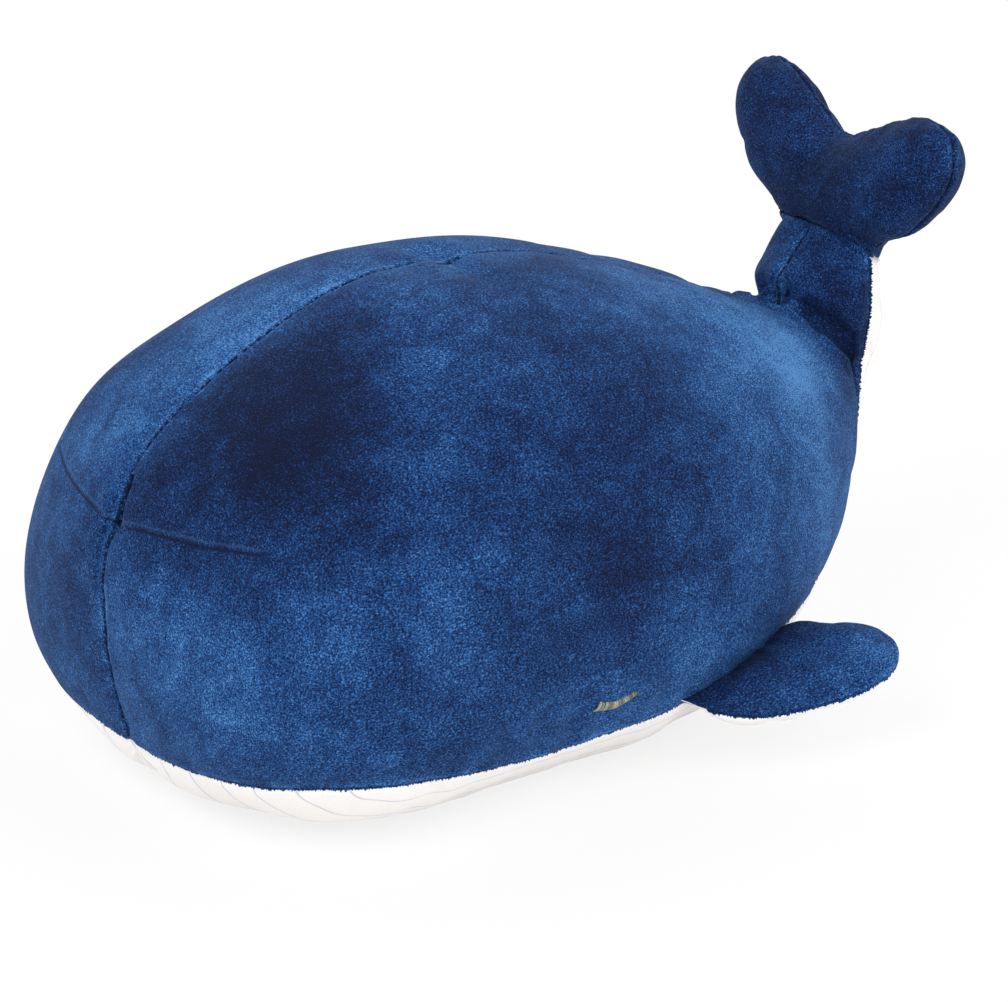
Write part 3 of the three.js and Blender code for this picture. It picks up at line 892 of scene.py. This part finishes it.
def pile_edge(whole, name, pale, root=None):
    """The fringe between the blue panels and the pale one, but not on a fin's root."""
    shape = shape_of(whole)
    panel = shape.faces.layers.int["panel"]
    outwards = shape.verts.layers.float_vector["outwards"]
    onwards = shape.verts.layers.float_vector.new("onwards")
    border = set()
    for edge in shape.edges:
        numbers = [face[panel] for face in edge.link_faces]
        at_root = root and from_root(np.array([edge.verts[0].co]), root)[0] < root_gap
        if len(numbers) == 2 and pale in numbers and numbers[0] != numbers[1] and not at_root:
            border.add(edge)
            white = next(face for face in edge.link_faces if face[panel] == pale)
            middle = (edge.verts[0].co + edge.verts[1].co) / 2
            for vert in edge.verts:
                vert[onwards] += (white.calc_center_median() - middle).normalized()
    bmesh.ops.delete(shape, geom=[edge for edge in shape.edges if edge not in border], context="EDGES")
    bmesh.ops.subdivide_edges(shape, edges=shape.edges, cuts=3)
    for vert in shape.verts:
        vert.co += vert[outwards].normalized() * pile_lift - vert[onwards].normalized() * pile_back
    rows = list(shape.edges)
    for share, droop in ((0.5, 0.15), (1.0, -0.35)):
        made = bmesh.ops.extrude_edge_only(shape, edges=rows)["geom"]
        rows = [item for item in made if isinstance(item, bmesh.types.BMEdge)]
        for vert in {v for edge in rows for v in edge.verts}:
            tuft = 1.0 if share < 1 else 1.0 + tuft_share * noise.noise(vert.co / tuft_size)
            vert.co += vert[onwards].normalized() * (pile_length * 0.7 * tuft)
            vert.co += vert[outwards].normalized() * (pile_length * droop)
        rows = [edge for edge in rows if edge.is_boundary]
    shape.normal_update()
    turned = [f for f in shape.faces if f.normal.dot(f.verts[0][outwards]) < 0]
    bmesh.ops.reverse_faces(shape, faces=turned)
    for name_of_layer in ("onwards", "outwards"):
        shape.verts.layers.float_vector.remove(shape.verts.layers.float_vector[name_of_layer])
    piece = smooth_piece(name, shape)
    # Far from any seam, so the painted seam shade (dark dots) stays off the fringe.
    record_on(piece, "seam_mm", 9.0)  # shows no thread
    return piece


pile_edges = {"cushion": pile_edge(body, "body_pile_edge", 2)}
for side in ("left", "right"):
    fin = "fin_" + side
    pile_edges[fin] = pile_edge(limbs[fin], fin + "_pile_edge", 1, fin)
face_surface = surface_of(body)
for whole in (body, *limbs.values()):
    bpy.data.objects.remove(whole)

# %% [markdown]
# ## Closed eyes
# Each eye is a bar of satin stitch: threads laid side by side across a curve, pulled down into the
# plush at both ends. A painted line wouldn't stand up from the plush, so one thread is modelled
# and bent into a low arch, and copies follow the curve. The bar narrows to the rear. Each thread
# has a tone of its own, because threads catch the light unevenly.

# %% One thread
thread_radius = 0.52 * mm
arch_height = 1.5 * mm
thread_sides, thread_steps = 6, 6

thread = bmesh.new()
bmesh.ops.create_cone(thread, cap_ends=True, segments=thread_sides, radius1=1, radius2=1, depth=2)
long_edges = [e for e in thread.edges if abs(e.verts[0].co.z - e.verts[1].co.z) > 1]
bmesh.ops.subdivide_edges(thread, edges=long_edges, cuts=thread_steps - 1)
thread_mesh = bpy.data.meshes.new("thread")
thread.to_mesh(thread_mesh)
thread.free()
print("one thread has", len(thread_mesh.polygons), "faces")

# %% Satin stitch
stitch_count = 38
front_width, rear_width = 7.4 * mm, 3.8 * mm
rear_rise = 2.8 * mm  # the rear end stands a little higher
eye_low, eye_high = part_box("eye_left_embroidery")
eye_middle_y = (eye_low.y + eye_high.y) / 2
eye_half = (eye_high.y - eye_low.y) / 2 - 0.6 * mm
eye_bottom = eye_low.z - 4.0 * mm
eye_sag = 3.9 * mm
stitch_slant, stitch_unevenness, stitch_sunk, stitch_seed = 0.12, 0.3, 0.5 * mm, 7


def eye_place(share, side):
    """A point on the eye's curve, from -1 at the front to 1 at the rear, and the way out there."""
    height = eye_bottom + eye_sag * share * share + rear_rise * (share + 1) / 2
    near = Vector((side * eye_high.x, eye_middle_y + eye_half * share, height))
    return face_surface.find_nearest(near)[:2]


def satin_eye(name, side):
    shape = bmesh.new()
    for number in range(stitch_count):
        share = 2 * number / (stitch_count - 1) - 1
        place, out = eye_place(share, side)
        along = (eye_place(share + 0.04, side)[0] - eye_place(share - 0.04, side)[0]).normalized()
        across = out.cross(along).normalized()
        if across.z < 0:
            across.negate()
        slant = (across + along * stitch_slant).normalized()
        width = front_width + (rear_width - front_width) * (share + 1) / 2
        width *= 1 - max(share, 0) ** 9 * 0.5
        width *= 1 + stitch_unevenness * noise.noise((share * 21, side, 0))
        first = len(shape.verts)
        shape.from_mesh(thread_mesh)
        shape.verts.ensure_lookup_table()
        for vert in shape.verts[first:]:
            x, y, t = vert.co
            thin = max(1 - t**4, 0.15) ** 0.5
            rise = arch_height * (1 - t * t) ** 0.7 if abs(t) < 1 else 0.0
            vert.co = (place + slant * (t * width / 2) + along * (x * thread_radius * thin)
                       + out * (rise - stitch_sunk + y * thread_radius * thin))
    if side < 0:
        bmesh.ops.recalc_face_normals(shape, faces=shape.faces)
    piece = smooth_piece(name, shape)
    shades = np.random.default_rng(stitch_seed).uniform(-1, 1, stitch_count)
    record_on(piece, "tone", np.repeat(shades, len(piece.data.vertices) // stitch_count))
    return piece


eyes = {"eye_left_stitches": satin_eye("eye_left_stitches", 1),
        "eye_right_stitches": satin_eye("eye_right_stitches", -1)}
bpy.data.meshes.remove(thread_mesh)

# %% [markdown]
# ## Brushed patches and painted shade
# Pile lies where it was last brushed, and looks dark towards its tips and pale along its back. Each
# panel is cut and brushed by itself, so the tone steps at a seam. Some patches are painted light
# instead: painted shade at the tail stock and along the fins' roots, and painted sheen together with
# nap at the top of the far panel. The large patches are given by place, reach and tone, because noise
# would put them anywhere, and noise adds the small ones.

# %% Tone of the large patches
# Each has its place and reach in millimetres, and a tone that is dark below 0 and pale above it.
left_patches = [
    ((60, -215, 215), 62, -1.25), ((45, -165, 250), 50, -0.9), ((105, -200, 200), 50, -0.7),  # brow
    ((20, -250, 195), 32, -0.6),
    ((150, -74, 202), 70, -0.55), ((120, -10, 215), 50, -0.5), ((164, -30, 150), 60, -0.55),  # middle
    ((168, -110, 95), 50, -0.4),
    ((60, -262, 105), 55, 0.45), ((128, -238, 95), 40, 0.15),  # cheek
    ((84, 125, 205), 55, 1.0), ((55, 68, 244), 45, 0.35), ((60, 165, 205), 40, 0.8),  # back at the tail
    ((120, 130, 130), 50, 0.55), ((165, 10, 72), 36, 0.8), ((168, -50, 60), 28, 0.5),  # low side
    # The dark patches at the tail stock are painted shade under its crease.
    ((40, 200, 190), 22, -0.3), ((20, 222, 215), 30, -1.1), ((30, 240, 180), 30, -0.8),  # tail stock
    ((44, 216, 176), 14, -1.0),
]
# On the far panel the pale patches at the top are nap tone and painted sheen, and the dark one at the tail
# stock is painted shade under its crease.
right_patches = [
    ((-20, -170, 250), 48, 0.7), ((-15, -95, 278), 45, 0.25), ((-60, -230, 190), 50, 0.1),
    ((-45, -270, 110), 50, -0.5), ((-110, -150, 190), 80, -0.4), ((-150, -40, 130), 80, -0.4),
    ((-84, 125, 205), 60, 0.5), ((-20, 222, 215), 30, -0.5),
]
fluke_patches = [((0, 235, 270), 60, -0.3), ((90, 245, 315), 26, 0.4), ((-88, 240, 320), 30, 0.25)]
# The three dark patches along a fin's root are painted shade where the fin meets the body, and the pale one
# makes the tip paler.
fin_patches = [((150, 15, 42), 22, -0.8), ((143, 54, 50), 24, -1.2), ((133, 95, 58), 22, -1.0),
               ((180, 120, 50), 36, 0.8)]


def brush_and_shade(piece, patches, base=0.0):
    """Records the tone of a piece's large patches."""
    points = points_of(piece) / mm
    tone = np.full(len(points), base)
    for place, reach, strength in patches:
        distance = lengths_of(points - np.array(place))
        tone += strength * bell(distance, reach)
    record_on(piece, "tone", tone)
    print(piece.name, "tone", round(tone.min(), 2), "to", round(tone.max(), 2))


def other_side(patches):
    return [((-x, y, z), reach, strength) for (x, y, z), reach, strength in patches]


brush_and_shade(pieces["back_left_plush"], left_patches)
brush_and_shade(pieces["back_right_plush"], right_patches)
brush_and_shade(pile_edges["cushion"], left_patches + right_patches)
for name in ("fluke_front_plush", "fluke_rear_plush"):
    brush_and_shade(pieces[name], fluke_patches, -0.95)
brush_and_shade(pieces["fin_left_upper_plush"], fin_patches, -0.4)
brush_and_shade(pieces["fin_right_upper_plush"], other_side(fin_patches), -0.4)
for side in ("left", "right"):
    brush_and_shade(pile_edges["fin_" + side], fin_patches + other_side(fin_patches), -0.4)

# %% [markdown]
# ## Plush
# Short pile shows as a fine grain of light and dark tips, in patches that a hand has brushed
# lighter or darker; a few dark patches are painted shade and a few pale ones painted sheen. Beside a
# seam pale streaks are painted sheen, where the standing pile would catch the light, and in the seam
# dark dots are painted shade in the groove and its puckers. A dart gets a thin line of painted shade
# in its crease and a faint painted highlight beside it. A hair for every tuft would be too much to
# keep, so noises of three sizes and the distances kept on the mesh make all of this, and a little
# sheen gives the bloom at grazing angles.

# %% Grain and nap shared by both plushes
pile_direction = (1.0, 0.62, 0.85)  # a share below 1 draws the tufts out along that axis


def clouds(finish, place, scale, detail, roughness, distortion=0.0):
    """Noise between 0 and 1."""
    return finish.make("ShaderNodeTexNoise", None, {
        "Vector": place, "Scale": scale, "Detail": detail, "Roughness": roughness,
        "Distortion": distortion})


def relief(finish, height, strength, distance):
    return finish.make("ShaderNodeBump", None, {
        "Height": height, "Strength": strength, "Distance": distance})


def pile_of(finish):
    """The noises of a short pile: brushed patches, streaks, and the grain of single tufts."""
    place = finish.make("ShaderNodeTexCoord", output="Object")
    drawn = finish.make("ShaderNodeVectorMath", {"operation": "MULTIPLY"}, {0: place, 1: pile_direction})
    nap = clouds(finish, place, 17.0, 4.0, 0.55, 0.4)
    streaks = clouds(finish, drawn, 75.0, 3.0, 0.6, 0.6)
    grain = clouds(finish, drawn, 1300.0, 1.0, 0.5)
    return place, nap, streaks, grain


def attribute(finish, name):
    """The number kept on the mesh under a name, or 0 on a piece that doesn't have it."""
    return finish.make("ShaderNodeAttribute", {"attribute_name": name}, output="Fac")


def falling(finish, value, near, far):
    """1 at the near value, falling smoothly to 0 at the far one, and level beyond both."""
    return finish.make("ShaderNodeMapRange", {"interpolation_type": "SMOOTHSTEP"},
                       {"Value": value, "From Min": near, "From Max": far, "To Min": 1.0, "To Max": 0.0})


def mixed(finish, share, first, second):
    return finish.make("ShaderNodeMix", {"data_type": "RGBA"}, {0: share, 6: first, 7: second}, output=2)


# %% Blue plush
def blue_plush():
    finish = Finish("blue_plush")
    place, nap, streaks, grain = pile_of(finish)
    tone = attribute(finish, "tone")
    seam = attribute(finish, "seam_mm")
    # Pale streaks beside each seam are painted sheen, where the standing pile would catch the light.
    seam_sheen = falling(finish, abs(seam - 3.0), 0.4, 2.2)
    patches = tone * 0.25 + (nap - 0.5) * 0.7
    tufts = (streaks - 0.5) * 0.5 + (grain - 0.5) * 1.7
    lean = 0.5 + patches + tufts + seam_sheen * (streaks - 0.3) * 0.45
    colour = finish.make("ShaderNodeValToRGB", {"stops": [
        (0.0, rgb(4, 14, 42)), (0.25, rgb(9, 31, 74)), (0.5, rgb(22, 59, 112)),
        (0.75, rgb(44, 93, 153)), (1.0, rgb(84, 138, 197))]}, {"Fac": lean})
    # Dark dots in each seam are painted shade in its groove and puckers; the mask is called thread.
    stitches = clouds(finish, place, 430.0, 0.0, 0.5)
    thread = falling(finish, seam, 0.5, 2.0) * falling(finish, stitches, 0.62, 0.4)
    # A thin dark line in each dart is painted shade in its crease, with a faint painted highlight beside it;
    # both are mixed into the colour with the seam's painted shade.
    dart = attribute(finish, "dart_mm")
    fade = attribute(finish, "dart_fade")
    dart_shade = falling(finish, abs(dart), 0.3, 1.5) * fade * 0.85
    dart_highlight = falling(finish, abs(dart - 3.0), 0.3, 1.4)
    painted_shade = finish.make("ShaderNodeMath", {"operation": "MAXIMUM"}, {0: thread, 1: dart_shade})
    highlit = mixed(finish, dart_highlight * fade * 0.1, colour, (*rgb(84, 128, 184), 1))
    shaded_colour = mixed(finish, painted_shade, highlit, (*rgb(8, 17, 44), 1))
    tips = relief(finish, grain * 0.8 + streaks * 0.5, 0.6, 1.4 * mm)
    shader = finish.make("ShaderNodeBsdfPrincipled", None, {
        "Base Color": shaded_colour, "Roughness": 0.85, "Normal": tips, "Specular IOR Level": 0.15,
        "Sheen Weight": 0.06, "Sheen Roughness": 0.4, "Sheen Tint": (*rgb(150, 195, 225), 1)})
    return finish.finish(shader)


# %% [markdown]
# ## White plush and satin thread
# The belly and the undersides of the fins are pale plush. The belly's pleats show as thin lines
# without a fold. Grooves would throw shadows that they don't have, so the finish draws them from
# the places that were kept on the mesh before the stuffing. The eyes are polyester thread, whose
# gloss is higher than the plush's.

# %% White plush
def white_plush():
    finish = Finish("white_plush")
    _, nap, streaks, grain = pile_of(finish)
    wobble = (streaks - 0.5) * 0.01
    pleats = attribute(finish, "pleat") + wobble
    beside = finish.make("ShaderNodeMath", {"operation": "PINGPONG"}, {0: pleats, 1: 0.5})
    line = falling(finish, beside, 0.012, 0.034)
    lean = 0.5 + (nap - 0.5) * 0.7 + (grain - 0.5) * 0.7
    colour = finish.make("ShaderNodeValToRGB", {"stops": [
        (0.0, rgb(236, 231, 228)), (0.5, rgb(250, 246, 243)), (1.0, rgb(255, 253, 250))]}, {"Fac": lean})
    lined = mixed(finish, line * 0.8, colour, (*rgb(198, 201, 217), 1))
    # A grey line in each seam is painted shade in its groove.
    seam_shade = falling(finish, attribute(finish, "seam_mm"), 0.0, 1.2)
    sewn = mixed(finish, seam_shade * 0.3, lined, (*rgb(186, 184, 192), 1))
    tips = relief(finish, grain * 0.5 - line * 0.6, 0.35, 1.0 * mm)
    shader = finish.make("ShaderNodeBsdfPrincipled", None, {
        "Base Color": sewn, "Roughness": 0.9, "Normal": tips, "Specular IOR Level": 0.2,
        "Sheen Weight": 0.15})
    return finish.finish(shader)


# %% Satin thread
def satin_thread():
    finish = Finish("satin_thread")
    place = finish.make("ShaderNodeTexCoord", output="Object")
    strands = clouds(finish, place, 1500.0, 2.0, 0.6)
    colour = finish.make("ShaderNodeValToRGB", {"stops": [
        (0.25, rgb(78, 78, 66)), (0.5, rgb(130, 129, 112)), (0.8, rgb(176, 174, 154))]},
        {"Fac": strands + attribute(finish, "tone") * 0.32})
    twist = relief(finish, strands, 0.4, 0.2 * mm)
    shader = finish.make("ShaderNodeBsdfPrincipled", None, {
        "Base Color": colour, "Roughness": 0.45, "Normal": twist})
    return finish.finish(shader)


# %% [markdown]
# ## What each piece moves with
# The body's pieces ride on the cushion. A fin has no hinge of its own: it is cloth, held in the
# seam, that bends beside it. So its points stay with the body at the root and turn further out.

# %% Cloth that bends at a fin's root
bend_inside, bend_outside = 2 * mm, 24 * mm


def carry(piece, body_name):
    """Rides a piece on the cushion, or bends a piece of a fin across the fin's root line."""
    if body_name == "cushion":
        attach(piece, "cushion")
        return
    middle, along = root_line(body_name)
    points = points_of(pieces[body_name + "_upper_plush"])
    out = points[from_root(points, body_name).argmax()] - middle
    out -= along * (out @ along)
    out /= np.linalg.norm(out)
    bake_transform(piece, "cushion", body_name, middle - out * bend_inside, middle + out * bend_outside)


# %% Finishes and the nodes that the pieces stand for
blue, white, thread_finish = blue_plush(), white_plush(), satin_thread()
stands_for = {
    "back_left_plush": ("cushion", blue, ["back_panel_left", "body_filling", "tail_filling"]),
    "back_right_plush": ("cushion", blue, ["back_panel_right"]),
    "belly_plush": ("cushion", white, ["belly_panel"]),
    "fluke_front_plush": ("cushion", blue, ["fluke_front_panel", "fluke_filling"]),
    "fluke_rear_plush": ("cushion", blue, ["fluke_rear_panel"]),
}
for fin in ("fin_left", "fin_right"):
    upper, lower = fin + "_upper_", fin + "_lower_"
    stands_for[upper + "plush"] = (fin, blue, [upper + "panel", fin + "_filling"])
    stands_for[lower + "plush"] = (fin, white, [lower + "panel"])
    record_on(pieces[lower + "plush"], "pleat", 0.5)  # halfway between two lines, to show none
for name, (body_name, finish, nodes) in stands_for.items():
    piece = pieces[name]
    piece.data.materials.append(finish)
    carry(piece, body_name)
    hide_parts(*nodes)
    "blue_plush" if finish == blue else "white_plush"
for body_name, piece in pile_edges.items():
    piece.data.materials.append(blue)
    carry(piece, body_name)
for name, piece in eyes.items():
    piece.data.materials.append(thread_finish)
    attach(piece, "cushion")
    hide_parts(name.replace("stitches", "embroidery"))
print(len(pieces), "panels,", len(pile_edges), "pile edges and", len(eyes), "eyes are carried")
